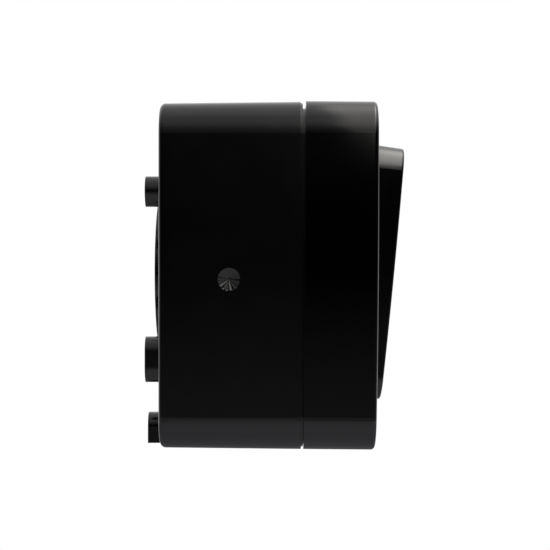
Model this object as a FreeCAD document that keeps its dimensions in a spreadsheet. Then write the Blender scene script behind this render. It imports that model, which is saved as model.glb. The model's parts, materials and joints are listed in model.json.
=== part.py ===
import FreeCAD, Part
import math
import os
import re

import Sketcher
from FreeCAD import Placement, Rotation, Vector

# Surface mounted light switch, in millimetres and degrees.
# Row frame: +Z up, the wall is the plane Y = 0, and the switch faces -Y.
# Every piece is drawn in a frame of its own, whose x runs along +X, y up the
# case and z out from the wall.

SIZES = {
    # Back box
    "case_width": 80.6,          # side of the square case
    "case_corner": 8.0,          # corner radius of the case seen from the front
    "box_back": 3.6,             # gap that the feet hold between wall and box
    "box_depth": 32.55,          # back face to front rim
    "box_wall": 2.4,
    "back_wall": 2.4,
    "box_draft": 0.65,           # degrees, the box narrows towards the wall
    "rear_round": 1.3,
    "tongue_inset": 1.5,         # tongue round the rim, set in from the outside
    "tongue_height": 2.2,
    "lip_inset": 0.45,           # low lip on the rim, outside the tongue
    "lip_height": 0.45,
    "lip_rise": 0.15,            # it sits above the case's middle
    # Feet, fixing holes and cable entry on the back
    "fixing_width": 60.0,        # pitch of the wall fixings across the case
    "fixing_height": 39.2,       # pitch of the wall fixings up the case
    "foot_radius": 3.575,
    "long_foot": 10.7,           # length of the lower, long feet
    "fixing_radius": 2.25,
    "fixing_slot": 8.0,
    "sill_inner": 17.5,          # feet at the bottom edge, near and far side
    "sill_outer": 24.6,
    "sill_length": 7.1,
    "sill_share": 0.45,          # radius of its upper corners as part of its width
    "entry_radius": 19.0,        # collar round the knock-out of the rear entry
    "entry_height": 2.45,
    "entry_rise": 0.7,           # its centre above the case's middle
    "entry_wall": 2.0,
    "entry_web": 1.0,
    "cable_radius": 9.0,         # cable hole broken out of the knock-out
    "mark_radius": 2.6,          # drill mark for a side entry
    "mark_depth": 1.2,
    "mark_level": 19.7,          # its distance from the wall
    "mark_drop": 0.9,
    # Posts for the support plate
    "post_inset": 5.2,           # post centres in from the box's inside
    "post_radius": 3.6,
    "post_bore": 12.0,
    "post_rib": 1.6,
    # Cover frame
    "cover_gap": 0.87,           # mean gap between box rim and cover
    "cover_lean": 0.47,          # degrees, the cover stands off more at the top
    "cover_over": 0.1,           # cover stands out over the box on each side
    "cover_rise": 0.1,           # and sits above the case's middle
    "cover_depth": 16.55,
    "cover_wall": 2.0,
    "cover_front": 2.2,
    "cover_round": 0.9,
    "cover_crown": 0.25,
    "skirt_wall": 1.2,           # thinned wall that passes outside the tongue
    "skirt_depth": 2.2,
    "hook_inset": 5.0,           # snap hooks on the plate, in from the cover's inside
    "hook_wall": 1.4,
    "hook_width": 8.0,
    "hook_nose": 1.1,
    "stop_width": 3.5,           # ribs beside the hooks that stop the cover
    "stop_wall": 1.2,
    "stop_space": 6.0,
    # Support plate
    "plate_set": 1.15,           # plate's back below the box rim
    "plate_thickness": 1.2,
    "plate_clear": 0.5,
    "fit_clear": 0.3,            # moulded pieces beside each other
    "seat_clear": 0.2,           # hooks and stops beside what they hold
    "plate_screw_radius": 1.45,
    "plate_screw_length": 10.0,
    "plate_head_radius": 2.8,
    "plate_head_height": 1.8,
    "screw_clear": 0.05,
    # Insert: base and cover of the switch mechanism
    "mechanism_rise": 1.1,       # mechanism and rocker sit above the case's middle
    "base_width": 46.0,
    "base_height": 36.0,
    "base_depth": 16.0,          # from the plate's back towards the wall
    "base_wall": 2.5,
    "base_corner": 2.0,
    "flange_reach": 2.0,
    "flange_thickness": 1.8,
    "core_space": 2.7,           # wall between its coring recess and the cage wells
    "core_height": 28.0,
    "core_depth": 6.0,
    "lid_thickness": 2.0,
    "lid_overlap": 3.0,
    "barrier_space": 2.5,        # barriers beside the cages
    "barrier_wall": 1.2,
    "lid_screw_radius": 0.95,
    "lid_screw_length": 6.0,
    "lid_head_radius": 1.9,
    "lid_head_height": 1.2,
    "boss_radius": 2.6,
    "boss_edge": 6.0,            # lid screws in from the base's sides
    "boss_corner": 12.2,
    # Hinge of the rocker
    "hinge_height": 13.8,        # axle above the plate's front
    "axle_radius": 1.5,
    "axle_clear": 0.05,
    "press_clear": 0.01,
    "ear_radius": 3.6,
    "ear_wall": 2.2,
    "ear_space": 2.7,            # ears clear of the lid screws' heads
    "ear_foot": 4.6,
    "rocker_tilt": 5.5,          # degrees each way from the middle
    # Rocker button
    "cover_border": 9.4,         # width of the cover's face beside its opening
    "rocker_corner": 5.4,
    "rocker_draft": 3.0,
    "rocker_height": 11.2,
    "rocker_proud": 4.61,        # crown of the level rocker above the cover
    "rocker_wall": 1.8,
    "rocker_front": 2.2,
    "rocker_crown": 0.23,
    "rocker_round": 0.5,
    "rocker_gap": 1.1,           # opening of the cover round the rocker's face
    "clip_wall": 1.4,
    "clip_width": 10.0,
    "clip_nose": 0.8,
    # Cradle under the button
    "cradle_half": 20.0,
    "cradle_plate": 2.0,
    "cradle_rib": 2.4,
    "cradle_rib_reach": 15.0,
    "cradle_rib_drop": 1.0,      # ribs below the hinge line
    "hub_radius": 3.2,
    "stem_radius": 2.8,
    "stem_reach": 11.0,
    # Plunger and spring
    "plunger_radius": 1.6,
    "plunger_clear": 0.15,
    "plunger_round": 1.5,
    "plunger_head": 8.0,         # its inner end below the hinge
    "spring_roof": 2.4,          # closed end of its bore below the hinge
    "spring_radius": 1.35,
    "spring_wire": 0.22,
    "spring_pitch": 1.4,
    # See-saw contact and terminals
    "fulcrum_drop": 4.0,         # knife edge behind the plate's back
    "knife_clear": 0.1,
    "snap_clear": 0.1,           # plunger over the see-saw at mid travel
    "seesaw_thickness": 0.8,
    "seesaw_width": 5.0,
    "seesaw_half": 9.3,
    "ear_tab": 0.6,
    "ear_tab_half": 1.5,
    "ear_tab_drop": 1.2,
    "tip_reach": 7.5,
    "tip_radius": 1.5,
    "tip_height": 0.9,
    "anvil_radius": 1.8,
    "anvil_height": 0.6,
    "strip_thickness": 0.8,
    "strip_width": 5.0,
    "knife_width": 4.4,
    "terminal_edge": 6.0,        # terminal screws in from the base's sides
    "cage_width": 6.0,
    "cage_wall": 1.0,
    "cage_play": 0.2,
    "cage_drop": 5.0,            # room for the wire behind the strip
    "wire_radius": 2.2,
    "terminal_screw_radius": 1.5,
    "terminal_screw_length": 4.2,
    "terminal_head_radius": 2.6,
    "terminal_head_height": 1.8,
    "driver_radius": 3.1,
    "slot_width": 0.7,
    "slot_share": 0.5,           # depth of a screw's slot as part of its head
}

# Depths from the wall, written in the names above
RIM = "(box_back + box_depth)"
FLOOR = "(box_back + back_wall)"
PLATE_REAR = f"({RIM} - plate_set)"
PLATE_FRONT = f"({PLATE_REAR} + plate_thickness)"
COVER_REAR = f"({RIM} + cover_gap)"
HINGE = f"({PLATE_FRONT} + hinge_height)"
FACE = f"({COVER_REAR} + cover_depth + rocker_proud)"
BASE_REAR = f"({PLATE_REAR} - base_depth)"
LID_FRONT = f"({PLATE_FRONT} + lid_thickness)"
FULCRUM = f"({PLATE_REAR} - fulcrum_drop)"

# Widths and places across the case
COVER_WIDTH = "(case_width + 2 * cover_over)"
ROCKER_FACE = "(case_width - 2 * cover_border - 2 * rocker_gap)"
POST_PITCH = "(case_width - 2 * box_wall - 2 * post_inset)"
HOOK_PLACE = "(case_width / 2 - cover_wall - hook_inset)"
BOSS_SIDE = "(base_width / 2 - boss_edge)"
CRADLE_WIDTH = f"(2 * ({BOSS_SIDE} - lid_head_radius - ear_space - ear_wall - fit_clear))"
TERMINAL_SIDE = "(base_width / 2 - terminal_edge)"
BARRIER_PLACE = f"({TERMINAL_SIDE} - cage_width / 2 - barrier_space)"
CORE_WIDTH = f"(2 * ({TERMINAL_SIDE} - cage_width / 2 - fit_clear - core_space))"

# Heights above the hinge, in the rocker's frame
ROCKER_TOP = f"({FACE} - {HINGE})"
ROCKER_INSIDE = f"({ROCKER_TOP} - rocker_front)"
CRADLE_TOP = f"({ROCKER_INSIDE} - fit_clear)"
CRADLE_UNDER = f"({CRADLE_TOP} - cradle_plate)"
PLUNGER_REACH = f"({HINGE} - {FULCRUM} - knife_clear - seesaw_thickness - snap_clear)"

# The fixed contacts stand just under the tips of the tilted see-saw
ANVIL_TOP = (f"({FULCRUM} - (tip_reach + tip_radius) * sin(rocker_tilt)"
             " - (tip_height - knife_clear) * cos(rocker_tilt) - knife_clear)")
STRIP_FRONT = f"({ANVIL_TOP} - anvil_height)"
STRIP_REAR = f"({STRIP_FRONT} - strip_thickness)"
CAGE_REAR = f"({STRIP_REAR} - cage_drop - cage_wall)"
CAGE_FRONT = f"({STRIP_FRONT} + fit_clear + cage_wall)"
CAGE_HALF = "(strip_width / 2 + cage_play + cage_wall)"

# Frames: offset along Y, offset along Z and turn about X of a piece
WALL_FRAME = ("0", "0", "90")
COVER_FRAME = (f"-{COVER_REAR}", "cover_rise", "90 + cover_lean")
INSERT_FRAME = ("0", "mechanism_rise", "90")
ROCKER_FRAME = (f"-{HINGE}", "mechanism_rise", "90 + rocker_tilt")
CONTACT_FRAME = (f"-{FULCRUM}", "mechanism_rise", "90 - rocker_tilt")

# Terminals: name, side along X, height as a multiple of the tips' reach
TERMINALS = (("common", 1, 0), ("upper", -1, 1), ("lower", -1, -1))
SIDES = (1, -1)
SPRING_CHORDS = 8                # straight chords in each turn of the fine spring
WIRE_SIDES = 8                   # sides of its fine wire

doc = FreeCAD.newDocument("light_switch")
sheet = doc.addObject("Spreadsheet::Sheet", "Sizes")
for row, (word, number) in enumerate(SIZES.items(), start=1):
    sheet.set(f"A{row}", word)
    sheet.set(f"B{row}", str(number))
    sheet.setAlias(f"B{row}", word)
doc.recompute()

nodes = []


def bound(text):
    """The formula as the document's expressions write it."""
    return re.sub(r"[a-z_]+", lambda word: f"Sizes.{word[0]}" if word[0] in SIZES else word[0], text)


def value(text):
    """The present value of a formula."""
    return float(sheet.evalExpression(bound(text)))


def bind(item, path, text):
    """Tie a property of a document object to a formula."""
    item.setExpression(path, bound(text))


def place(item, frame):
    """Stand a piece in its frame."""
    along, up, turn = frame
    item.Placement = Placement(Vector(), Rotation(Vector(1, 0, 0), value(turn)))
    bind(item, "Placement.Base.y", along)
    bind(item, "Placement.Base.z", up)
    bind(item, "Placement.Rotation.Angle", turn)


def new_body(label, frame):
    """An empty body standing in its frame."""
    item = doc.addObject("PartDesign::Body", label)
    place(item, frame)
    return item


def new_sketch(body, name, plane, level):
    """A sketch on one of the body's own planes, moved along its normal."""
    item = body.newObject("Sketcher::SketchObject", f"{body.Name}_{name}_sketch")
    support = next(one for one in body.Origin.OriginFeatures if one.Role == plane)
    item.AttachmentSupport = [(support, "")]
    item.MapMode = "FlatFace"
    bind(item, "AttachmentOffset.Base.z", level)
    return item


def fix_point(item, geometry, point, x, y):
    """Hold a point of a sketch at the place that two formulas give."""
    for kind, text in (("DistanceX", x), ("DistanceY", y)):
        rule = Sketcher.Constraint(kind, -1, 1, geometry, point, value(text))
        bind(item, f"Constraints[{item.addConstraint(rule)}]", text)


def fix_radius(item, geometry, radius):
    """Hold the radius of a circle or arc."""
    rule = Sketcher.Constraint("Radius", geometry, value(radius))
    bind(item, f"Constraints[{item.addConstraint(rule)}]", radius)


def draw_circle(item, radius, x="0", y="0"):
    """A circle at x, y."""
    centre = Vector(value(x), value(y), 0)
    circle = item.addGeometry(Part.Circle(centre, Vector(0, 0, 1), value(radius)))
    fix_point(item, circle, 3, x, y)
    fix_radius(item, circle, radius)


def draw_outline(item, points):
    """A closed outline of straight lines through the points."""
    spots = [Vector(value(x), value(y), 0) for x, y in points]
    lines = [item.addGeometry(Part.LineSegment(start, end))
             for start, end in zip(spots, spots[1:] + spots[:1])]
    for line, following in zip(lines, lines[1:] + lines[:1]):
        item.addConstraint(Sketcher.Constraint("Coincident", line, 2, following, 1))
    for line, (x, y) in zip(lines, points):
        fix_point(item, line, 1, x, y)


def draw_rectangle(item, left, right, low, high):
    """A rectangle between two pairs of limits."""
    draw_outline(item, [(left, low), (right, low), (right, high), (left, high)])


def draw_rounded(item, width, height, radius, y="0"):
    """A rectangle with round corners, centred at height y."""
    across = f"({width}) / 2 - ({radius})"
    up = f"({height}) / 2 - ({radius})"
    arcs = []
    for quarter, (side, rise) in enumerate(((1, 1), (-1, 1), (-1, -1), (1, -1))):
        centre = Vector(side * value(across), rise * value(up) + value(y), 0)
        circle = Part.Circle(centre, Vector(0, 0, 1), value(radius))
        start = quarter * math.pi / 2
        arcs.append(item.addGeometry(Part.ArcOfCircle(circle, start, start + math.pi / 2)))
    for number, (arc, following) in enumerate(zip(arcs, arcs[1:] + arcs[:1])):
        ends = item.Geometry[arc].EndPoint, item.Geometry[following].StartPoint
        line = item.addGeometry(Part.LineSegment(*ends))
        item.addConstraint(Sketcher.Constraint("Tangent", arc, 2, line, 1))
        item.addConstraint(Sketcher.Constraint("Tangent", line, 2, following, 1))
        item.addConstraint(Sketcher.Constraint("Vertical" if number % 2 else "Horizontal", line))
    for arc in arcs[1:]:
        item.addConstraint(Sketcher.Constraint("Equal", arcs[0], arc))
    fix_radius(item, arcs[0], radius)
    fix_point(item, arcs[0], 3, across, f"{y} + {up}")
    fix_point(item, arcs[2], 3, f"-({across})", f"{y} - ({up})")


def draw_upright_slot(item, radius, length, x, y):
    """A slot with round ends, running up the case."""
    reach = f"(({length}) / 2 - {radius})"
    arcs = []
    for sign, start in ((1, 0), (-1, math.pi)):
        centre = Vector(value(x), value(y) + sign * value(reach), 0)
        circle = Part.Circle(centre, Vector(0, 0, 1), value(radius))
        arcs.append(item.addGeometry(Part.ArcOfCircle(circle, start, start + math.pi)))
        fix_point(item, arcs[-1], 3, x, f"{y} + {sign} * {reach}")
    for arc, following in (arcs, arcs[::-1]):
        ends = item.Geometry[arc].EndPoint, item.Geometry[following].StartPoint
        line = item.addGeometry(Part.LineSegment(*ends))
        item.addConstraint(Sketcher.Constraint("Tangent", arc, 2, line, 1))
        item.addConstraint(Sketcher.Constraint("Tangent", line, 2, following, 1))
    fix_radius(item, arcs[0], radius)


def finish_feature(body, item, adds):
    """Recompute, and stop if the feature didn't change the body as it should."""
    before = item.BaseFeature.Shape.Volume if item.BaseFeature else 0.0
    doc.recompute()
    change = item.Shape.Volume - before
    if not item.Shape.isValid() or (change <= 0 if adds else change >= 0):
        raise RuntimeError(f"{item.Name} of {body.Name} changed the volume by {change:.4f}")


def extrude(body, name, draw, start, length, adds=True, taper=None, plane="XY_Plane", rearward=False):
    """Pad or pocket a sketch, drawn at start, by length along its plane's normal or against it."""
    profile = new_sketch(body, name, plane, start)
    draw(profile)
    doc.recompute()
    item = body.newObject("PartDesign::Pad" if adds else "PartDesign::Pocket", f"{body.Name}_{name}")
    item.Profile = profile
    item.Reversed = rearward if adds else not rearward
    bind(item, "Length", length)
    if taper:
        bind(item, "TaperAngle", taper)
    finish_feature(body, item, adds)


def extrude_across(body, name, draw, length, adds=True):
    """Pad or pocket a side view of the piece, half its length to each side of the middle."""
    extrude(body, name, draw, f"-({length}) / 2", length, adds, plane="YZ_Plane")


def crown(body, name, top, width, sag):
    """Arch the flat top of a body, so that it has dropped by sag at its upper and lower edges."""
    radius = f"(({width}) ^ 2 / (8 * {sag}))"
    reach = f"({width})"
    edge = f"({top} - {radius} + sqrt({radius} ^ 2 - {reach} ^ 2))"
    spare = f"{top} + {sag}"
    corners = [(reach, edge), (reach, spare), (f"-{reach}", spare), (f"-{reach}", edge)]

    def draw_waste(item):
        spots = [Vector(value(x), value(y), 0) for x, y in corners]
        lines = [item.addGeometry(Part.LineSegment(*pair)) for pair in zip(spots, spots[1:])]
        circle = Part.Circle(Vector(0, value(top) - value(radius), 0), Vector(0, 0, 1), value(radius))
        half = math.asin(value(reach) / value(radius))
        arc = item.addGeometry(Part.ArcOfCircle(circle, math.pi / 2 - half, math.pi / 2 + half))
        for line, following in zip(lines, lines[1:]):
            item.addConstraint(Sketcher.Constraint("Coincident", line, 2, following, 1))
        item.addConstraint(Sketcher.Constraint("Coincident", lines[-1], 2, arc, 2))
        item.addConstraint(Sketcher.Constraint("Coincident", arc, 1, lines[0], 1))
        item.addConstraint(Sketcher.Constraint("Vertical", lines[-1]))
        for line, (x, y) in zip(lines, corners):
            fix_point(item, line, 1, x, y)
        fix_point(item, arc, 3, "0", f"{top} - {radius}")

    extrude_across(body, name, draw_waste, f"2 * {width}", adds=False)


def round_edges(body, name, radius, chosen):
    """Fillet the edges of a body that the rule chooses."""
    base = body.Tip
    edges = [f"Edge{number}" for number, edge in enumerate(base.Shape.Edges, start=1) if chosen(edge)]
    item = body.newObject("PartDesign::Fillet", f"{body.Name}_{name}")
    item.Base = (base, edges)
    bind(item, "Radius", radius)
    finish_feature(body, item, adds=False)


def lies_at(level):
    """A rule that chooses edges lying flat, all along, near a depth of the frame."""
    return lambda edge: (abs(edge.BoundBox.ZMin - level) < 0.6
                         and abs(edge.BoundBox.ZMax - level) < 0.6)


def every_fixing(draw):
    """Draw at the four posts."""
    for side in SIDES:
        for rise in SIDES:
            draw(f"{side} * {POST_PITCH} / 2", f"{rise} * {POST_PITCH} / 2")


def make_back_box():
    """Moulded box with feet, fixing holes, a rear knock-out, drill marks and screw posts."""
    box = new_body("back_box", WALL_FRAME)
    extrude(box, "block", lambda item: draw_rounded(item, "case_width", "case_width", "case_corner"),
            RIM, "box_depth", taper="-box_draft", rearward=True)
    round_edges(box, "rear_round", "rear_round", lies_at(value("box_back")))
    inside = "case_width - 2 * box_wall"
    inner_corner = "case_corner - box_wall"
    extrude(box, "hollow", lambda item: draw_rounded(item, inside, inside, inner_corner),
            RIM, "box_depth - back_wall", adds=False, taper="-box_draft", rearward=True)

    def draw_tongue(item):
        outside = "case_width - 2 * tongue_inset"
        draw_rounded(item, outside, outside, "case_corner - tongue_inset")
        draw_rounded(item, inside, inside, inner_corner)

    extrude(box, "tongue", draw_tongue, RIM, "tongue_height")

    def draw_lip(item):
        outside = "case_width - 2 * lip_inset"
        draw_rounded(item, outside, outside, "case_corner - lip_inset", "lip_rise")
        draw_rounded(item, inside, inside, inner_corner)

    extrude(box, "lip", draw_lip, RIM, "lip_height")

    def draw_wall_feet(item):
        for side in SIDES:
            across = f"{side} * fixing_width / 2"
            draw_circle(item, "foot_radius", across, "fixing_height / 2")
            draw_upright_slot(item, "foot_radius", "long_foot", across, "-fixing_height / 2")

    extrude(box, "feet", draw_wall_feet, "0", "box_back + back_wall / 2")
    for name, start in (("right_sill", "sill_inner"), ("left_sill", "-sill_outer")):
        make_sill_foot(box, name, start)
    extrude(box, "entry_collar", lambda item: draw_circle(item, "entry_radius", "0", "entry_rise"),
            "box_back - entry_height", "entry_height + back_wall / 2")
    extrude(box, "knock_out", lambda item: draw_circle(item, "entry_radius - entry_wall", "0", "entry_rise"),
            "box_back - entry_height", "entry_height + back_wall - entry_web", adds=False)
    extrude(box, "cable_hole", lambda item: draw_circle(item, "cable_radius", "0", "entry_rise"),
            f"{FLOOR} - entry_web", "entry_web", adds=False)

    def draw_fixing_holes(item):
        for side in SIDES:
            across = f"{side} * fixing_width / 2"
            draw_circle(item, "fixing_radius", across, "fixing_height / 2")
            draw_upright_slot(item, "fixing_radius", "fixing_slot", across, "-fixing_height / 2")

    extrude(box, "fixing_holes", draw_fixing_holes, "0", FLOOR, adds=False)
    rise = f"{PLATE_REAR} - {FLOOR}"
    extrude(box, "posts", lambda item: every_fixing(lambda x, y: draw_circle(item, "post_radius", x, y)),
            FLOOR, rise)

    def draw_ribs(item):
        for up in SIDES:
            low = f"{up} * {POST_PITCH} / 2 - post_rib / 2"
            high = f"{up} * {POST_PITCH} / 2 + post_rib / 2"
            draw_rectangle(item, f"{POST_PITCH} / 2", "case_width / 2 - box_wall / 2", low, high)
            draw_rectangle(item, "box_wall / 2 - case_width / 2", f"-{POST_PITCH} / 2", low, high)

    extrude(box, "post_ribs", draw_ribs, FLOOR, f"{rise} - post_bore / 2")
    pilot = "plate_screw_radius + screw_clear"
    extrude(box, "post_bores", lambda item: every_fixing(lambda x, y: draw_circle(item, pilot, x, y)),
            PLATE_REAR, "post_bore", adds=False, rearward=True)
    make_drill_marks(box)
    nodes.append(box)


def make_sill_foot(box, name, start):
    """Foot at the bottom edge of the back, with round upper corners."""
    top = f"(sill_length - {edge_at_back()})"
    width = "(sill_outer - sill_inner)"

    def draw_side(item):
        draw_rectangle(item, f"-{edge_at_back()}", top, "0", "box_back + back_wall / 2")

    extrude(box, name, draw_side, start, width, plane="YZ_Plane")
    height = value(top)
    near = value(start)
    far = near + value(width)

    def is_upper_corner(edge):
        middle = edge.BoundBox.Center
        return (abs(middle.y - height) < 0.01 and abs(middle.z - value("box_back") / 2) < 0.01
                and min(abs(middle.x - near), abs(middle.x - far)) < 0.01)

    round_edges(box, f"{name}_round", f"sill_share * {width}", is_upper_corner)


def edge_at_back():
    """Half the case where its drafted side meets the rear round."""
    return "(case_width / 2 - box_depth * tan(box_draft) - rear_round * 0.1)"


def make_drill_marks(box):
    """A cone sunk in each side, where a cable entry is drilled."""
    surface = f"(case_width / 2 - ({RIM} - mark_level) * tan(box_draft))"
    for name, start, near, far in (("right_mark", f"{surface} - mark_depth", "0", "2 * mark_radius"),
                                   ("left_mark", f"-{surface} - mark_depth", "2 * mark_radius", "0")):
        item = box.newObject("PartDesign::SubtractiveCone", f"{box.Name}_{name}")
        support = next(one for one in box.Origin.OriginFeatures if one.Role == "YZ_Plane")
        item.AttachmentSupport = [(support, "")]
        item.MapMode = "FlatFace"
        bind(item, "AttachmentOffset.Base.x", "-mark_drop")
        bind(item, "AttachmentOffset.Base.y", "mark_level")
        bind(item, "AttachmentOffset.Base.z", start)
        bind(item, "Radius1", near)
        bind(item, "Radius2", far)
        bind(item, "Height", "2 * mark_depth")
        finish_feature(box, item, adds=False)


def make_cover_frame():
    """Glossy front frame with a shallow arch, hung on the plate by two snap hooks."""
    cover = new_body("cover_frame", COVER_FRAME)
    extrude(cover, "block", lambda item: draw_rounded(item, COVER_WIDTH, COVER_WIDTH, "case_corner"),
            "0", "cover_depth + cover_crown")
    crown(cover, "crown", "(cover_depth + cover_crown)", COVER_WIDTH, "cover_crown")
    round_edges(cover, "front_round", "cover_round", lies_at(value("cover_depth")))
    inside = f"{COVER_WIDTH} - 2 * cover_wall"
    extrude(cover, "hollow", lambda item: draw_rounded(item, inside, inside, "case_corner - cover_wall"),
            "0", "cover_depth - cover_front", adds=False)
    mouth = f"{COVER_WIDTH} - 2 * skirt_wall"
    extrude(cover, "rebate", lambda item: draw_rounded(item, mouth, mouth, "case_corner - skirt_wall"),
            "0", "skirt_depth", adds=False)
    opening = f"{ROCKER_FACE} + 2 * rocker_gap"
    extrude(cover, "opening", lambda item: draw_rounded(item, opening, opening, "rocker_corner",
                                                        "mechanism_rise - cover_rise"),
            "cover_depth - cover_front", "cover_front + cover_crown", adds=False)
    root = "(cover_depth - cover_front / 2)"
    rear = f"({PLATE_REAR} - {COVER_REAR} - seat_clear)"
    for name, side in (("right_hook", 1), ("left_hook", -1)):

        def draw_hook(item, side=side):
            inner = f"{side} * {HOOK_PLACE}"
            outer = f"{side} * ({HOOK_PLACE} + hook_wall)"
            nose = f"{side} * ({HOOK_PLACE} + hook_wall + hook_nose)"
            draw_outline(item, [(inner, root), (outer, root), (outer, rear), (nose, rear),
                                (outer, f"{rear} - 1.5 * hook_nose"), (inner, f"{rear} - 1.5 * hook_nose")])

        extrude(cover, name, draw_hook, "-hook_width / 2", "hook_width", plane="XZ_Plane")
    stop = f"({PLATE_FRONT} - {COVER_REAR} + seat_clear)"

    def draw_stops(item):
        for rise in SIDES:
            low, high = sorted((f"{rise} * stop_space", f"{rise} * (stop_space + stop_wall)"), key=value)
            draw_rectangle(item, HOOK_PLACE, f"{HOOK_PLACE} + stop_width", low, high)
            draw_rectangle(item, f"-{HOOK_PLACE} - stop_width", f"-{HOOK_PLACE}", low, high)

    extrude(cover, "stops", draw_stops, stop, f"{root} - {stop}")
    nodes.append(cover)


def make_support_plate():
    """Steel plate screwed to the posts, with a window for the insert and slots for the hooks."""
    plate = new_body("support_plate", WALL_FRAME)
    side = "case_width - 2 * box_wall - 2 * plate_clear"

    def draw_plate(item):
        draw_rounded(item, side, side, "case_corner - box_wall - plate_clear")
        draw_rounded(item, "base_width + 2 * fit_clear", "base_height + 2 * fit_clear",
                     "base_corner + fit_clear", "mechanism_rise")
        half = "(hook_width / 2 + fit_clear)"
        near = f"({HOOK_PLACE} - fit_clear)"
        far = f"({HOOK_PLACE} + hook_wall + fit_clear)"
        draw_rectangle(item, near, far, f"-{half}", half)
        draw_rectangle(item, f"-{far}", f"-{near}", f"-{half}", half)
        every_fixing(lambda x, y: draw_circle(item, "plate_screw_radius + fit_clear", x, y))

    extrude(plate, "sheet", draw_plate, PLATE_REAR, "plate_thickness")
    nodes.append(plate)


def terminal_height(multiple):
    """Height of a terminal in the insert."""
    return f"({multiple} * tip_reach)"


def draw_at_terminals(draw):
    """Draw at the three terminal screws."""
    for _, side, multiple in TERMINALS:
        draw(f"{side} * {TERMINAL_SIDE}", terminal_height(multiple))


def draw_at_lid_screws(draw):
    """Draw at the three screws of the insert's lid."""
    draw(f"-{BOSS_SIDE}", "0")
    for rise in SIDES:
        draw(BOSS_SIDE, f"{rise} * boss_corner")


def make_insert_base():
    """Moulded base of the mechanism: a cavity, three cage wells, wire holes and screw bosses."""
    base = new_body("insert_base", INSERT_FRAME)
    extrude(base, "block", lambda item: draw_rounded(item, "base_width", "base_height", "base_corner"),
            BASE_REAR, "base_depth + plate_thickness")
    extrude(base, "flange", lambda item: draw_rounded(item, "base_width + 2 * flange_reach",
                                                      "base_height + 2 * flange_reach",
                                                      "base_corner + flange_reach / 2"),
            f"{PLATE_REAR} - flange_thickness", "flange_thickness")
    extrude(base, "cavity", lambda item: draw_rounded(item, "base_width - 2 * base_wall",
                                                      "base_height - 2 * base_wall", "base_corner"),
            STRIP_REAR, f"{PLATE_FRONT} - {STRIP_REAR}", adds=False)
    extrude(base, "coring", lambda item: draw_rounded(item, CORE_WIDTH, "core_height", "base_corner"),
            BASE_REAR, "core_depth", adds=False)
    well = "(cage_width / 2 + fit_clear)"
    well_height = f"({CAGE_HALF} + fit_clear)"

    def draw_wells(item):
        draw_at_terminals(lambda x, y: draw_rectangle(item, f"{x} - {well}", f"{x} + {well}",
                                                      f"{y} - {well_height}", f"{y} + {well_height}"))

    depth = f"{STRIP_REAR} - {CAGE_REAR} + fit_clear"
    extrude(base, "wells", draw_wells, STRIP_REAR, depth, adds=False, rearward=True)
    extrude(base, "bosses", lambda item: draw_at_lid_screws(
        lambda x, y: draw_circle(item, "boss_radius", x, y)), STRIP_REAR, f"{PLATE_FRONT} - {STRIP_REAR}")
    pilot = "lid_screw_radius + screw_clear"
    extrude(base, "boss_bores", lambda item: draw_at_lid_screws(
        lambda x, y: draw_circle(item, pilot, x, y)), PLATE_FRONT, "lid_screw_length",
            adds=False, rearward=True)
    wall = "terminal_edge"
    for name, side, multiple in TERMINALS:
        start = TERMINAL_SIDE if side > 0 else "-base_width / 2"
        extrude(base, f"{name}_wire_hole", lambda item, up=multiple: draw_circle(
            item, "wire_radius", terminal_height(up), f"{STRIP_REAR} - cage_drop / 2"),
                start, wall, adds=False, plane="YZ_Plane")
    nodes.append(base)


def make_insert_lid():
    """Lid of the mechanism, with the two ears of the rocker's axle and two barriers inside."""
    lid = new_body("insert_lid", INSERT_FRAME)
    extrude(lid, "sheet", lambda item: draw_rounded(item, "base_width + 2 * lid_overlap",
                                                    "base_height + 2 * lid_overlap", "lid_overlap"),
            PLATE_FRONT, "lid_thickness")
    near = f"({CRADLE_WIDTH} / 2 + fit_clear)"

    def draw_ear(item):
        draw_outline(item, [("-ear_foot", LID_FRONT), ("ear_foot", LID_FRONT),
                            ("ear_radius", HINGE), ("-ear_radius", HINGE)])

    for name, start in (("right_ear", near), ("left_ear", f"-{near} - ear_wall")):
        extrude(lid, name, draw_ear, start, "ear_wall", plane="YZ_Plane")
        extrude(lid, f"{name}_top", lambda item: draw_circle(item, "ear_radius", "0", HINGE),
                start, "ear_wall", plane="YZ_Plane")
    extrude_across(lid, "axle_bores", lambda item: draw_circle(item, "axle_radius + press_clear", "0", HINGE),
                   f"{CRADLE_WIDTH} + 4 * ear_wall", adds=False)
    low = "-base_height / 2 + base_wall + lid_overlap / 2"
    high = "base_height / 2 - base_wall - lid_overlap / 2"

    def draw_barriers(item):
        draw_rectangle(item, f"{BARRIER_PLACE} - barrier_wall", BARRIER_PLACE, low, high)
        draw_rectangle(item, f"-{BARRIER_PLACE}", f"barrier_wall - {BARRIER_PLACE}", low, high)

    extrude(lid, "barriers", draw_barriers, f"{STRIP_FRONT} + fit_clear",
            f"{PLATE_FRONT} - {STRIP_FRONT} - fit_clear + lid_thickness / 2")
    swing = "((stem_reach + lid_thickness * 2) * sin(rocker_tilt) + plunger_radius + fit_clear)"
    side = "(plunger_radius + 2 * fit_clear)"

    def draw_holes(item):
        draw_rectangle(item, f"-{side}", side, f"-{swing}", swing)
        draw_at_terminals(lambda x, y: draw_circle(item, "driver_radius", x, y))
        draw_at_lid_screws(lambda x, y: draw_circle(item, "lid_screw_radius + screw_clear", x, y))

    extrude(lid, "holes", draw_holes, PLATE_FRONT, "lid_thickness", adds=False)
    nodes.append(lid)


def make_axle():
    """Steel axle pressed into the ears."""
    axle = new_body("pivot_axle", INSERT_FRAME)
    extrude_across(axle, "rod", lambda item: draw_circle(item, "axle_radius", "0", HINGE),
                   f"{CRADLE_WIDTH} + 2 * fit_clear + 2 * ear_wall")
    nodes.append(axle)


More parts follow.
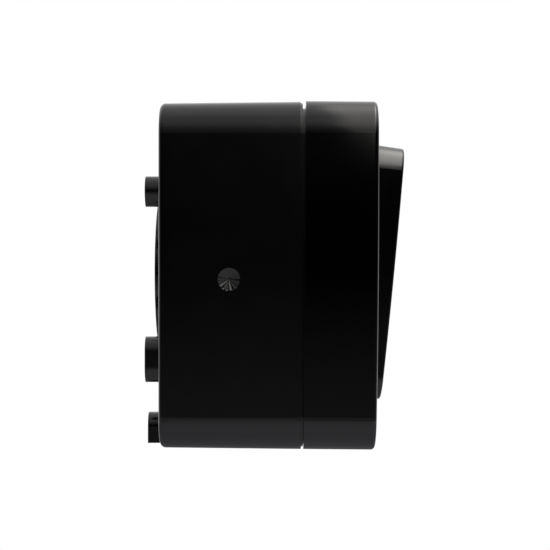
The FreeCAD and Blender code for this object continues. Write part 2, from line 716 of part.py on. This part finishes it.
def make_rocker_button():
    """Hollow rocker with drafted sides, a slightly arched face and two clips for the cradle."""
    rocker = new_body("rocker_button", ROCKER_FRAME)
    extrude(rocker, "block", lambda item: draw_rounded(item, ROCKER_FACE, ROCKER_FACE, "rocker_corner"),
            ROCKER_TOP, "rocker_height", taper="rocker_draft", rearward=True)
    crown(rocker, "crown", ROCKER_TOP, ROCKER_FACE, "rocker_crown")
    round_edges(rocker, "front_round", "rocker_round", lies_at(value(f"{ROCKER_TOP} - rocker_crown")))
    spread = "2 * (rocker_height - rocker_front) * tan(rocker_draft)"
    inside = f"{ROCKER_FACE} - 2 * rocker_wall + {spread}"
    extrude(rocker, "hollow", lambda item: draw_rounded(item, inside, inside, "rocker_corner"),
            f"{ROCKER_TOP} - rocker_height", "rocker_height - rocker_front",
            adds=False, taper="-rocker_draft")
    root = f"({ROCKER_INSIDE} + rocker_front / 2)"
    catch = f"({CRADLE_UNDER} - seat_clear)"
    for name, side in (("upper_clip", 1), ("lower_clip", -1)):

        def draw_clip(item, side=side):
            inner = f"{side} * (cradle_half + seat_clear)"
            outer = f"{side} * (cradle_half + seat_clear + clip_wall)"
            nose = f"{side} * (cradle_half + seat_clear - clip_nose)"
            end = f"{catch} - 1.5 * clip_nose"
            draw_outline(item, [(inner, root), (outer, root), (outer, end), (inner, end),
                                (nose, catch), (inner, catch)])

        extrude_across(rocker, name, draw_clip, "clip_width")
    nodes.append(rocker)


def make_cradle():
    """Lever under the button: plate, side ribs, hub on the axle and the plunger's stem."""
    cradle = new_body("rocker_cradle", ROCKER_FRAME)
    half = f"{CRADLE_WIDTH} / 2"
    extrude(cradle, "plate", lambda item: draw_rectangle(item, f"-{half}", half,
                                                         "-cradle_half", "cradle_half"),
            CRADLE_UNDER, "cradle_plate")
    extrude_across(cradle, "web", lambda item: draw_rectangle(
        item, "-hub_radius", "hub_radius", "0", f"{CRADLE_UNDER} + cradle_plate / 2"), CRADLE_WIDTH)
    extrude_across(cradle, "hub", lambda item: draw_circle(item, "hub_radius"), CRADLE_WIDTH)

    def draw_rib(item):
        top = f"{CRADLE_UNDER} + cradle_plate / 2"
        draw_outline(item, [("-cradle_rib_reach", top), ("-hub_radius", "-cradle_rib_drop"),
                            ("hub_radius", "-cradle_rib_drop"), ("cradle_rib_reach", top)])

    for name, start in (("right_rib", f"{half} - cradle_rib"), ("left_rib", f"-{half}")):
        extrude(cradle, name, draw_rib, start, "cradle_rib", plane="YZ_Plane")
    extrude(cradle, "stem", lambda item: draw_circle(item, "stem_radius"),
            "0", "stem_reach", rearward=True)
    extrude_across(cradle, "axle_bore", lambda item: draw_circle(item, "axle_radius + axle_clear"),
                   CRADLE_WIDTH, adds=False)
    extrude(cradle, "plunger_bore", lambda item: draw_circle(item, "plunger_radius + plunger_clear"),
            "-stem_reach", "stem_reach - spring_roof", adds=False)
    nodes.append(cradle)


def make_plunger():
    """Round nosed plunger that snaps over the see-saw."""
    plunger = new_body("plunger", ROCKER_FRAME)
    extrude(plunger, "rod", lambda item: draw_circle(item, "plunger_radius"),
            "-plunger_head", f"{PLUNGER_REACH} - plunger_head", rearward=True)
    round_edges(plunger, "nose", "plunger_round", lies_at(-value(PLUNGER_REACH)))
    nodes.append(plunger)


def make_spring():
    """Coil spring between the closed end of the stem's bore and the plunger."""
    wire = value("spring_wire")
    start = -value("plunger_head") + wire + value("screw_clear")
    end = -value("spring_roof") - wire - value("screw_clear")
    radius = value("spring_radius")
    steps = round(SPRING_CHORDS * (end - start) / value("spring_pitch"))
    points = []
    for step in range(steps + 1):
        angle = 2 * math.pi * step / SPRING_CHORDS
        height = start + (end - start) * step / steps
        points.append(Vector(radius * math.cos(angle), radius * math.sin(angle), height))
    around = Rotation(Vector(0, 0, 1), points[1] - points[0])
    turns = [2 * math.pi * side / WIRE_SIDES for side in range(WIRE_SIDES + 1)]
    rim = [points[0] + around.multVec(Vector(wire * math.cos(turn), wire * math.sin(turn), 0))
           for turn in turns]
    section = Part.makePolygon(rim)
    mitred = 1
    coil = Part.makePolygon(points).makePipeShell([section], True, True, mitred)
    spring = doc.addObject("Part::Feature", "toggle_spring")
    spring.Shape = coil
    place(spring, ROCKER_FRAME)
    nodes.append(spring)


def make_moving_contact():
    """Brass see-saw on the knife edge, with locating tabs and a contact tip at each end."""
    seesaw = new_body("moving_contact", CONTACT_FRAME)
    half = "seesaw_width / 2"
    extrude(seesaw, "leaf", lambda item: draw_rectangle(item, f"-{half}", half,
                                                        "-seesaw_half", "seesaw_half"),
            "knife_clear", "seesaw_thickness")
    for name, near, far in (("right_tab", half, f"{half} + ear_tab"),
                            ("left_tab", f"-{half} - ear_tab", f"-{half}")):
        extrude(seesaw, name, lambda item: draw_rectangle(item, near, far, "-ear_tab_half", "ear_tab_half"),
                "-ear_tab_drop", "ear_tab_drop + knife_clear + seesaw_thickness")
    nodes.append(seesaw)
    disc_pair("moving_contact_tips", CONTACT_FRAME, "tip_radius", "knife_clear - tip_height", "tip_height")
    disc_pair("fixed_contact_tips", INSERT_FRAME, "anvil_radius", STRIP_FRONT, "anvil_height")


def disc_pair(label, frame, radius, start, height):
    """Two contact discs, one at each end of the see-saw."""
    discs = []
    for rise, word in ((1, "upper"), (-1, "lower")):
        disc = doc.addObject("Part::Cylinder", f"{label}_{word}")
        bind(disc, "Radius", radius)
        bind(disc, "Height", height)
        bind(disc, "Placement.Base.y", f"{rise} * tip_reach")
        bind(disc, "Placement.Base.z", start)
        discs.append(disc)
    group(label, frame, discs)


def group(label, frame, members):
    """Equal small pieces kept together as one sub-part."""
    item = doc.addObject("Part::Compound", label)
    item.Links = members
    place(item, frame)
    nodes.append(item)


def make_terminal(name, side, multiple):
    """Contact strip, screw cage and screw of one terminal."""
    up = terminal_height(multiple)
    x = f"{side} * {TERMINAL_SIDE}"
    strip = new_body(f"{name}_terminal", INSERT_FRAME)
    left, right = sorted((f"{x} + {side} * cage_width / 2", f"-{side} * strip_width / 2"), key=value)
    extrude(strip, "strip", lambda item: draw_rectangle(item, left, right, f"{up} - strip_width / 2",
                                                        f"{up} + strip_width / 2"),
            STRIP_REAR, "strip_thickness")
    if not multiple:
        extrude_across(strip, "knife", lambda item: draw_outline(
            item, [("-strip_width / 2", STRIP_FRONT), ("strip_width / 2", STRIP_FRONT), ("0", FULCRUM)]),
                       "knife_width")
    nodes.append(strip)
    cage = new_body(f"{name}_cage", INSERT_FRAME)

    def draw_cage(item):
        draw_rectangle(item, f"{up} - {CAGE_HALF}", f"{up} + {CAGE_HALF}", CAGE_REAR, CAGE_FRONT)
        draw_rectangle(item, f"{up} - {CAGE_HALF} + cage_wall", f"{up} + {CAGE_HALF} - cage_wall",
                       f"{CAGE_REAR} + cage_wall", f"{CAGE_FRONT} - cage_wall")

    extrude(cage, "ring", draw_cage, f"{x} - cage_width / 2", "cage_width", plane="YZ_Plane")
    extrude(cage, "thread", lambda item: draw_circle(item, "terminal_screw_radius + screw_clear", x, up),
            f"{CAGE_FRONT} - cage_wall", "cage_wall", adds=False)
    nodes.append(cage)
    tip = f"({STRIP_FRONT} + screw_clear)"
    screw = make_screw(f"{name}_terminal_screw", INSERT_FRAME, x, up, f"{tip} + terminal_screw_length",
                       "terminal_screw_radius", "terminal_screw_length",
                       "terminal_head_radius", "terminal_head_height")
    nodes.append(screw)


def make_screw(label, frame, x, y, seat, radius, length, head_radius, head_height):
    """Cheese head screw with a slot, whose head rests at the seat."""
    screw = new_body(label, frame)
    extrude(screw, "head", lambda item: draw_circle(item, head_radius, x, y), seat, head_height)
    extrude(screw, "shank", lambda item: draw_circle(item, radius, x, y), seat, length, rearward=True)
    extrude(screw, "slot", lambda item: draw_rectangle(item, f"{x} - {head_radius}", f"{x} + {head_radius}",
                                                       f"{y} - slot_width / 2", f"{y} + slot_width / 2"),
            f"{seat} + {head_height}", f"slot_share * {head_height}", adds=False, rearward=True)
    return screw


def make_screw_groups():
    """Screws of the plate and of the insert's lid."""
    plate_spots = []
    every_fixing(lambda x, y: plate_spots.append((x, y)))
    plate_screws = [make_screw(f"plate_screw_{number}", WALL_FRAME, x, y, PLATE_FRONT, "plate_screw_radius",
                               "plate_screw_length", "plate_head_radius", "plate_head_height")
                    for number, (x, y) in enumerate(plate_spots, start=1)]
    lid_spots = []
    draw_at_lid_screws(lambda x, y: lid_spots.append((x, y)))
    lid_screws = [make_screw(f"lid_screw_{number}", INSERT_FRAME, x, y, LID_FRONT, "lid_screw_radius",
                             "lid_screw_length", "lid_head_radius", "lid_head_height")
                  for number, (x, y) in enumerate(lid_spots, start=1)]
    for label, members in (("plate_screws", plate_screws), ("lid_screws", lid_screws)):
        item = doc.addObject("Part::Compound", label)
        item.Links = members
        nodes.append(item)


def write_parts():
    """Check every object, then write each sub-part to its own file."""
    doc.recompute()
    for item in doc.Objects:
        if "Invalid" in item.State or "Error" in item.State:
            raise RuntimeError(f"{item.Name} failed: {item.State}")
    for node in nodes:
        if node.Shape.isNull() or not node.Shape.isValid():
            raise RuntimeError(f"{node.Label} has no valid shape")
    os.makedirs("parts", exist_ok=True)
    for node in nodes:
        node.Shape.exportStep(f"parts/{node.Label}.step")
        print(f"{node.Label}: {len(node.Shape.Solids)} solid, {node.Shape.Volume:.1f} mm3")


make_back_box()
make_cover_frame()
make_support_plate()
make_insert_base()
make_insert_lid()
make_axle()
make_rocker_button()
make_cradle()
make_plunger()
make_spring()
make_moving_contact()
for terminal in TERMINALS:
    make_terminal(*terminal)
make_screw_groups()
write_parts()
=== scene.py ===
import json
import math

import bpy
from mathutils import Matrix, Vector


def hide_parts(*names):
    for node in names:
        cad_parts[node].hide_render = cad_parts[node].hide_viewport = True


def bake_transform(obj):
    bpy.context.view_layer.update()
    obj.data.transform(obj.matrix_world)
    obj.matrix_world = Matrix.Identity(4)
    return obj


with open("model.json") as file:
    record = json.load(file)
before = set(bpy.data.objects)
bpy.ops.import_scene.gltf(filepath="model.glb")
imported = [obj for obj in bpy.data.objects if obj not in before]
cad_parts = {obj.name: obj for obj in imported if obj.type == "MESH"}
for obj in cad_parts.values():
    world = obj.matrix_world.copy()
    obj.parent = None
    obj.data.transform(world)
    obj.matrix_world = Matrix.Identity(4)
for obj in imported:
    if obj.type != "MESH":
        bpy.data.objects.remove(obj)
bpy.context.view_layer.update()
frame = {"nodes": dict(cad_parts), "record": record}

MILLIMETRES = 1000           # in a metre

# Camera: level, square to the side of the case, in metres
SIDE_DISTANCE = 0.381        # from the camera to the case's middle plane
CAMERA_DEPTH = 0.0302        # in front of the wall
CAMERA_HEIGHT = 0.0001
NEAR_CLIP = 0.01
SENSOR = 36.0                # millimetres
LENS = 98.18                 # millimetres

# Floor, out of the frame below the switch
FLOOR_DROP = 0.25
FLOOR_RADIUS = 0.9
FLOOR_SIDES = 96
FLOOR_SEEN = (0.85, 0.85, 0.85, 1)      # its colour to the camera
# Painted light and shade on the floor as the object sees it: dimmer than to the camera, brightest on the
# camera's side of the switch and darker towards both ends: x, paleness
FLOOR_PAINTED_LIGHT = ((-0.9, 0.04), (-0.8, 0.24), (-0.69, 0.33), (-0.43, 0.41), (-0.21, 0.44), (-0.1, 0.41),
                  (0.0, 0.36), (0.1, 0.24), (0.3, 0.16), (0.9, 0.12))
# Bluish tint of that painted light and shade
FLOOR_TINT = (0.97, 0.97, 1.05)

# Drill mark in each side of the box: depth in front of the wall, height, radius
DRILL_MARK = (0.0197, -0.0009, 0.0026)
MARK_RIM = 0.9               # share of the radius where the flutes start to fade out
MARK_FLUTES = 14
MARK_TURN = 0.4              # phase of the flutes in radians
MARK_LEAN = (0, 0.03, -0.13)            # added to the normal, because the mark is drilled a little askew
FLUTE_HEIGHT = 0.00008
FLUTES_ABOVE = 0.3           # share of that height in the upper half of the mark
FLUTES_FADE = 1 / 3          # share of the radius, above and below the middle, over which it changes

# Plastics, with the blotches and the grain in millimetres
BLOTCH_SIZE = 9.0
BLOTCH_DETAIL = 4
GRAIN_DETAIL = 3
EDGE_RADIUS = 0.00015        # metres
EDGE_SAMPLES = 6
PLASTICS = {
    "box_plastic": {
        "name": "black_box", "dark": (0.0004, 0.0004, 0.0004), "light": (0.0008, 0.0008, 0.0009),
        "smooth": 0.12, "rough": 0.18, "grain_size": 0.35, "grain_height": 0.002, "drilled": True},
    "cover_plastic": {
        "name": "black_cover", "dark": (0.0001, 0.0001, 0.0001), "light": (0.0003, 0.0003, 0.0003),
        "smooth": 0.05, "rough": 0.08, "grain_size": 0.5, "grain_height": 0.0006},
    "rocker_plastic": {
        "name": "black_rocker", "dark": (0.0003, 0.0003, 0.0003), "light": (0.0006, 0.0006, 0.0006),
        "smooth": 0.08, "rough": 0.13, "grain_size": 0.35, "grain_height": 0.0012, "grain_stretch": 12},
    "insert_plastic": {
        "name": "pale_insert", "dark": (0.68, 0.67, 0.62), "light": (0.78, 0.77, 0.73),
        "smooth": 0.4, "rough": 0.5, "grain_size": 0.3, "grain_height": 0.006},
}

# Metals, with the streaks in millimetres
STREAK_DETAIL = 3
STREAK_SQUEEZE = 12          # how much shorter the streaks are upright than across
METALS = {
    "plated_steel": {
        "name": "zinc_plate", "dark": (0.5, 0.5, 0.48), "light": (0.68, 0.68, 0.66),
        "smooth": 0.25, "rough": 0.42, "streak_size": 1.5},
    "brass": {
        "name": "brass", "dark": (0.62, 0.44, 0.18), "light": (0.78, 0.6, 0.3),
        "smooth": 0.2, "rough": 0.36, "streak_size": 1.2},
    "contact_silver": {
        "name": "contact_silver", "dark": (0.78, 0.78, 0.76), "light": (0.9, 0.9, 0.88),
        "smooth": 0.15, "rough": 0.3, "streak_size": 0.8},
}

# Softbox overhead, in front of the cover: low x, high x, low y, high y, height
SOFTBOX_PLACE = (-13.0, 1.2, -2.6, -0.062, 1.0)
SOFTBOX_RADIANCE = 7.0
SOFTBOX_TINT = (1.0, 0.965, 0.93)
# How far forward its rear edge bends: x, distance
SOFTBOX_BEND = ((-13.0, 0.56), (-10.0, 0.46), (-7.0, 0.36), (-4.0, 0.18), (-1.66, 0.05), (0.0, 0.0),
                (1.2, 0.0))
# Its share of full brightness along x, and from its front edge to its rear one: place, share
SOFTBOX_ALONG = ((-13.0, 0.0), (-11.5, 0.01), (-10.9, 0.03), (-10.4, 0.09), (-10.2, 0.14), (-9.5, 0.22),
                 (-7.0, 0.28), (-5.0, 0.34), (-3.5, 0.4), (-2.0, 0.52), (-1.54, 0.58), (-0.72, 0.78),
                 (-0.24, 0.93), (0.0, 1.0), (0.22, 0.7), (0.55, 0.15), (1.2, 0.0))
SOFTBOX_FORWARD = ((-2.6, 0.02), (-1.2, 0.1), (-0.6, 0.33), (-0.45, 1.0), (-0.29, 1.0), (-0.23, 0.28),
                   (-0.096, 0.25), (-0.087, 0.31), (-0.077, 0.0), (-0.062, 0.0))

# Surroundings as the object sees them: sine of the elevation, then radiance
CAMERA_SIDE = ((-1.0, 0.6), (-0.5, 0.55), (-0.34, 0.44), (-0.17, 0.21), (-0.07, 0.1), (0.0, 0.0),
               (0.05, 0.004), (0.1, 0.035), (0.26, 0.1), (0.44, 0.27), (0.6, 0.5), (0.74, 0.68),
               (0.86, 0.64), (0.945, 0.85), (1.0, 1.0))
FAR_SIDE = ((-1.0, 0.6), (-0.3, 0.8), (0.0, 1.0), (1.0, 1.0))
FAR_STARTS = (-0.3, 0.97)    # cosine of the azimuth from behind the object where the far side fades in
BACKDROP_WHITE = 1.0


def new_nodes(tree):
    """Empty a node tree, and give short ways to add nodes, to link them and to calculate with them."""
    tree.nodes.clear()

    def add(kind, **settings):
        node = tree.nodes.new(kind)
        for name, setting in settings.items():
            setattr(node, name, setting)
        return node

    def link(source, output, target, entry):
        tree.links.new(source.outputs[output], target.inputs[entry])

    def calculate(operation, *inputs):
        """Math node on numbers and on pairs of node and output; it is given back as such a pair."""
        node = add("ShaderNodeMath", operation=operation)
        for number, entry in enumerate(inputs):
            if isinstance(entry, tuple):
                link(*entry, node, number)
            else:
                node.inputs[number].default_value = entry
        return node, "Value"

    return add, link, calculate


def new_material(name):
    """Material with an empty node tree."""
    material = bpy.data.materials.new(name)
    material.use_nodes = True
    return material, *new_nodes(material.node_tree)


def spread(add, low, high, to_low=0.0, to_high=1.0, **settings):
    """Node that maps the values from low to high onto those from to_low to to_high."""
    node = add("ShaderNodeMapRange", **settings)
    node.inputs["From Min"].default_value = low
    node.inputs["From Max"].default_value = high
    node.inputs["To Min"].default_value = to_low
    node.inputs["To Max"].default_value = to_high
    return node


def ramp(add, link, source, output, low, high, stops, tint=(1, 1, 1)):
    """Piecewise linear values of one tint along a coordinate that runs from low to high."""
    course = spread(add, low, high)
    link(source, output, course, "Value")
    node = add("ShaderNodeValToRGB")
    marks = node.color_ramp.elements
    for number, (spot, value) in enumerate(stops):
        share = (spot - low) / (high - low)
        mark = marks[number] if number < 2 else marks.new(share)
        mark.position = share
        mark.color = (*(value * channel for channel in tint), 1)
    link(course, "Result", node, "Fac")
    return node


def make_camera():
    """The photograph's viewpoint."""
    data = bpy.data.cameras.new("camera")
    data.sensor_width = SENSOR
    data.lens = LENS
    data.clip_start = NEAR_CLIP
    camera = bpy.data.objects.new("camera", data)
    camera.location = (-SIDE_DISTANCE, -CAMERA_DEPTH, CAMERA_HEIGHT)
    camera.rotation_euler = (math.pi / 2, 0, -math.pi / 2)
    bpy.context.scene.collection.objects.link(camera)
    bpy.context.scene.camera = camera


def make_world():
    """White backdrop; for the object, a studio that is dark at eye level on the camera's side."""
    world = bpy.data.worlds.new("studio")
    bpy.context.scene.world = world
    world.use_nodes = True
    add, link, calculate = new_nodes(world.node_tree)
    place = add("ShaderNodeTexCoord")
    split = add("ShaderNodeSeparateXYZ")
    link(place, "Generated", split, "Vector")
    near = ramp(add, link, split, "Z", -1.0, 1.0, CAMERA_SIDE)
    far = ramp(add, link, split, "Z", -1.0, 1.0, FAR_SIDE)

    flat = add("ShaderNodeVectorMath", operation="MULTIPLY")
    flat.inputs[1].default_value = (1, 1, 0)
    heading = add("ShaderNodeVectorMath", operation="NORMALIZE")
    turn = add("ShaderNodeSeparateXYZ")
    behind = spread(add, *FAR_STARTS, interpolation_type="SMOOTHSTEP")
    link(place, "Generated", flat, "Vector")
    link(flat, "Vector", heading, "Vector")
    link(heading, "Vector", turn, "Vector")
    link(turn, "X", behind, "Value")

    around = add("ShaderNodeMix", data_type="RGBA")
    studio = add("ShaderNodeBackground")
    link(behind, "Result", around, "Factor")
    link(near, "Color", around, "A")
    link(far, "Color", around, "B")
    link(around, "Result", studio, "Color")

    white = add("ShaderNodeBackground")
    white.inputs["Color"].default_value = (1, 1, 1, 1)
    white.inputs["Strength"].default_value = BACKDROP_WHITE
    rays = add("ShaderNodeLightPath")
    mirrored = calculate("MAXIMUM", (rays, "Is Glossy Ray"), (rays, "Is Transmission Ray"))
    shown = calculate("MULTIPLY", mirrored, (behind, "Result"))
    seen = calculate("MAXIMUM", (rays, "Is Camera Ray"), shown)
    mix = add("ShaderNodeMixShader")
    output = add("ShaderNodeOutputWorld")
    link(*seen, mix, "Fac")
    link(studio, "Background", mix, 1)
    link(white, "Background", mix, 2)
    link(mix, "Shader", output, "Surface")


def make_softbox():
    """One large soft light overhead, dimmer towards its ends and its rear edge."""
    left, right, front, back, height = SOFTBOX_PLACE
    data = bpy.data.lights.new("softbox", "AREA")
    data.shape = "RECTANGLE"
    data.size = right - left
    data.size_y = back - front
    data.energy = SOFTBOX_RADIANCE * math.pi * data.size * data.size_y
    data.color = SOFTBOX_TINT
    data.use_nodes = True
    add, link, calculate = new_nodes(data.node_tree)
    spot = add("ShaderNodeNewGeometry")
    split = add("ShaderNodeSeparateXYZ")
    link(spot, "Position", split, "Vector")
    along = ramp(add, link, split, "X", left, right, SOFTBOX_ALONG)
    bend = ramp(add, link, split, "X", left, right, SOFTBOX_BEND)
    reach = calculate("ADD", (bend, "Color"), (split, "Y"))
    forward = ramp(add, link, *reach, front, back, SOFTBOX_FORWARD)
    share = calculate("MULTIPLY", (along, "Color"), (forward, "Color"))
    glow = add("ShaderNodeEmission")
    output = add("ShaderNodeOutputLight")
    link(*share, glow, "Strength")
    link(glow, "Emission", output, "Surface")
    lamp = bpy.data.objects.new("softbox", data)
    lamp.location = ((left + right) / 2, (front + back) / 2, height)
    bpy.context.scene.collection.objects.link(lamp)


def make_floor():
    """Pale floor under the switch, white to the camera apart from the shadow; to the object it shows painted
    light and shade instead, dimmer and changing along x.
    """
    bpy.ops.mesh.primitive_circle_add(vertices=FLOOR_SIDES, radius=FLOOR_RADIUS, fill_type="NGON",
                                      location=(0, -CAMERA_DEPTH, -FLOOR_DROP))
    floor = bpy.context.object
    floor.name = "floor"
    material, add, link, _ = new_material("pale_floor")
    seen = add("ShaderNodeBsdfDiffuse")
    seen.inputs["Color"].default_value = FLOOR_SEEN
    bounced = add("ShaderNodeBsdfDiffuse")
    spot = add("ShaderNodeNewGeometry")
    split = add("ShaderNodeSeparateXYZ")
    link(spot, "Position", split, "Vector")
    # Painted light and shade: the object sees the floor dimmer than the camera does, brighter on the
    # camera's side and darker towards the ends
    painted_light = ramp(add, link, split, "X", -FLOOR_RADIUS, FLOOR_RADIUS, FLOOR_PAINTED_LIGHT, FLOOR_TINT)
    link(painted_light, "Color", bounced, "Color")
    rays = add("ShaderNodeLightPath")
    mix = add("ShaderNodeMixShader")
    output = add("ShaderNodeOutputMaterial")
    link(rays, "Is Camera Ray", mix, "Fac")
    link(bounced, "BSDF", mix, 1)
    link(seen, "BSDF", mix, 2)
    link(mix, "Shader", output, "Surface")
    floor.data.materials.append(material)


def mark_flutes(add, link, calculate, place, edges):
    """Normal in a drill mark, which leans a little and has shallow flutes that fan out from its middle."""
    depth, rise, radius = DRILL_MARK
    split = add("ShaderNodeSeparateXYZ")
    link(place, "Object", split, "Vector")
    along = calculate("ADD", (split, "Y"), depth)
    up = calculate("SUBTRACT", (split, "Z"), rise)
    angle = calculate("ARCTAN2", along, up)
    wave = calculate("SINE", calculate("MULTIPLY_ADD", angle, MARK_FLUTES, MARK_TURN))
    squares = calculate("ADD", calculate("MULTIPLY", along, along), calculate("MULTIPLY", up, up))
    reach = calculate("DIVIDE", calculate("SQRT", squares), radius)
    inside = spread(add, 1.0, MARK_RIM, interpolation_type="SMOOTHSTEP")
    link(*reach, inside, "Value")
    fade = FLUTES_FADE * radius
    lower = spread(add, fade, -fade, FLUTES_ABOVE, interpolation_type="SMOOTHSTEP")
    link(*up, lower, "Value")
    strength = calculate("MULTIPLY", (inside, "Result"), (lower, "Result"))
    height = calculate("MULTIPLY", calculate("MULTIPLY", wave, reach), strength)

    lean = add("ShaderNodeVectorMath", operation="SCALE")
    lean.inputs["Vector"].default_value = MARK_LEAN
    askew = add("ShaderNodeVectorMath", operation="ADD")
    level = add("ShaderNodeVectorMath", operation="NORMALIZE")
    bump = add("ShaderNodeBump")
    bump.inputs["Distance"].default_value = FLUTE_HEIGHT
    link(inside, "Result", lean, "Scale")
    link(edges, "Normal", askew, 0)
    link(lean, "Vector", askew, 1)
    link(askew, "Vector", level, "Vector")
    link(level, "Vector", bump, "Normal")
    link(*height, bump, "Height")
    return bump


def noise(add, link, place, size, detail, squeeze=1.0):
    """Noise of that size in millimetres, squeezed upright by that factor."""
    stretch = add("ShaderNodeMapping")
    stretch.inputs["Scale"].default_value = (1, 1, squeeze)
    node = add("ShaderNodeTexNoise")
    node.inputs["Scale"].default_value = MILLIMETRES / size
    node.inputs["Detail"].default_value = detail
    link(place, "Object", stretch, "Vector")
    link(stretch, "Vector", node, "Vector")
    return node


def vary(add, link, shader, pattern, dark, light, smooth, rough):
    """Colour and roughness of the shader that follow a pattern."""
    colour = add("ShaderNodeMix", data_type="RGBA")
    colour.inputs["A"].default_value = (*dark, 1)
    colour.inputs["B"].default_value = (*light, 1)
    gloss = spread(add, 0.0, 1.0, smooth, rough)
    link(pattern, "Fac", colour, "Factor")
    link(pattern, "Fac", gloss, "Value")
    link(colour, "Result", shader, "Base Color")
    link(gloss, "Result", shader, "Roughness")


def moulded_plastic(name, dark, light, smooth, rough, grain_size, grain_height, grain_stretch=1.0,
                    drilled=False):
    """Moulded plastic: slow colour and gloss variation, a fine grain and slightly broken edges."""
    material, add, link, calculate = new_material(name)
    place = add("ShaderNodeTexCoord")
    shader = add("ShaderNodeBsdfPrincipled")
    blotches = noise(add, link, place, BLOTCH_SIZE, BLOTCH_DETAIL)
    vary(add, link, shader, blotches, dark, light, smooth, rough)
    relief = add("ShaderNodeBevel", samples=EDGE_SAMPLES)
    relief.inputs["Radius"].default_value = EDGE_RADIUS
    if drilled:
        relief = mark_flutes(add, link, calculate, place, relief)
    grain = noise(add, link, place, grain_size, GRAIN_DETAIL, 1 / grain_stretch)
    bump = add("ShaderNodeBump")
    bump.inputs["Distance"].default_value = grain_height / MILLIMETRES
    output = add("ShaderNodeOutputMaterial")
    link(relief, "Normal", bump, "Normal")
    link(grain, "Fac", bump, "Height")
    link(bump, "Normal", shader, "Normal")
    link(shader, "BSDF", output, "Surface")
    return material


def metal(name, dark, light, smooth, rough, streak_size):
    """Rolled or plated metal with faint streaks."""
    material, add, link, _ = new_material(name)
    place = add("ShaderNodeTexCoord")
    shader = add("ShaderNodeBsdfPrincipled")
    shader.inputs["Metallic"].default_value = 1
    streaks = noise(add, link, place, streak_size, STREAK_DETAIL, STREAK_SQUEEZE)
    vary(add, link, shader, streaks, dark, light, smooth, rough)
    output = add("ShaderNodeOutputMaterial")
    link(shader, "BSDF", output, "Surface")
    return material


def dress_nodes():
    """Give every CAD node the finish of its material slot."""
    finishes = {slot: moulded_plastic(**look) for slot, look in PLASTICS.items()}
    finishes.update({slot: metal(**look) for slot, look in METALS.items()})
    for part in frame["record"]["subparts"]:
        node = frame["nodes"][part["node"]]
        material = finishes[part["material_slot"]]
        if node.material_slots:
            for entry in node.material_slots:
                entry.material = material
        else:
            node.data.materials.append(material)


def shorten_spring():
    """The toggle spring again, copied in place from its CAD node, which is hidden; the copy keeps the node's
    shape, with one end on the rocker and the other on the plunger that slides in it.
    """
    node = frame["nodes"]["toggle_spring"]
    spring = bpy.data.objects.new("toggle_spring_coil", node.data.copy())
    bpy.context.scene.collection.objects.link(spring)
    spring.matrix_world = node.matrix_world.copy()
    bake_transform(spring)
    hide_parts("toggle_spring")


bpy.context.scene.view_settings.view_transform = "Standard"
make_camera()
make_world()
make_softbox()
make_floor()
dress_nodes()
shorten_spring()
